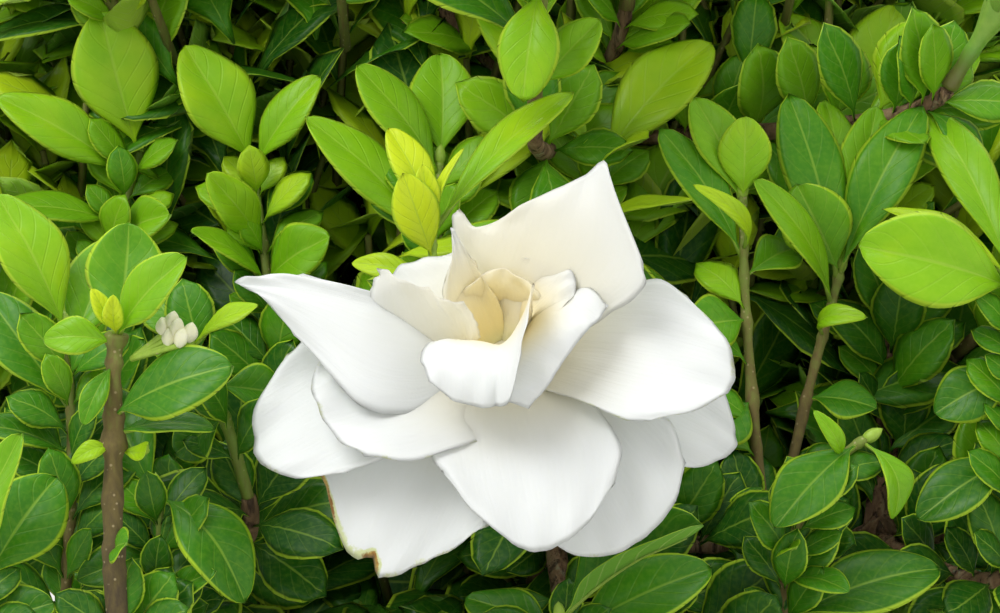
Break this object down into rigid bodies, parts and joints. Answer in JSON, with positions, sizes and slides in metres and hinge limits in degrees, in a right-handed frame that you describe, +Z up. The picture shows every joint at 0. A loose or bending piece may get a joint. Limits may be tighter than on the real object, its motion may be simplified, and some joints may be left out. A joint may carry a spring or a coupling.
{
  "type": "potted gardenia",
  "caption": "Flowering evergreen shrub in a round clay pot, with double white blooms, spiral buds and glossy paired leaves.",
  "frame": {"origin": "middle of the pot's flat underside", "axes": "+Z up along the pot's axis, -Y towards the front bloom, +X to the viewer's right from there"},
  "size_m": [0.3241, 0.3275, 0.4032],
  "materials": {
    "clay": "matte, unglazed",
    "soil": "rough, damp",
    "bark": "rough",
    "leaf": "glossy, waxy",
    "petal": "soft satin",
    "bud": "soft satin",
    "calyx": "satin"
  },
  "bodies": {
    "root": {"pot": "clay", "soil": "soil", "trunk": "bark", "bloom_back": "petal", "bloom_back_calyx": "calyx", "bloom_front": "petal", "bloom_front_calyx": "calyx", "bloom_left": "petal", "bloom_left_calyx": "calyx", "bud_right": "bud", "bud_right_calyx": "calyx", "bud_top": "bud", "bud_top_calyx": "calyx", "front_shoot_back_left": "leaf", "front_shoot_back_right": "leaf", "front_shoot_behind": "leaf", "front_shoot_below": "leaf", "front_shoot_far_left": "leaf", "front_shoot_far_right": "leaf", "front_shoot_left": "leaf", "front_shoot_left_edge": "leaf", "front_shoot_left_inner": "leaf", "front_shoot_left_low": "leaf", "front_shoot_left_upper": "leaf", "front_shoot_right": "leaf", "front_shoot_right_edge": "leaf", "front_shoot_right_inner": "leaf", "front_shoot_right_low": "leaf", "front_shoot_young": "leaf", "shoot_01": "leaf", "shoot_03": "leaf", "shoot_04": "leaf", "shoot_05": "leaf", "shoot_07": "leaf", "shoot_09": "leaf", "shoot_10": "leaf", "shoot_13": "leaf", "shoot_14": "leaf", "shoot_15": "leaf", "shoot_17": "leaf", "shoot_18": "leaf", "shoot_19": "leaf", "shoot_20": "leaf", "shoot_22": "leaf", "shoot_23": "leaf", "shoot_24": "leaf", "shoot_25": "leaf"}
  },
  "joints": []
}
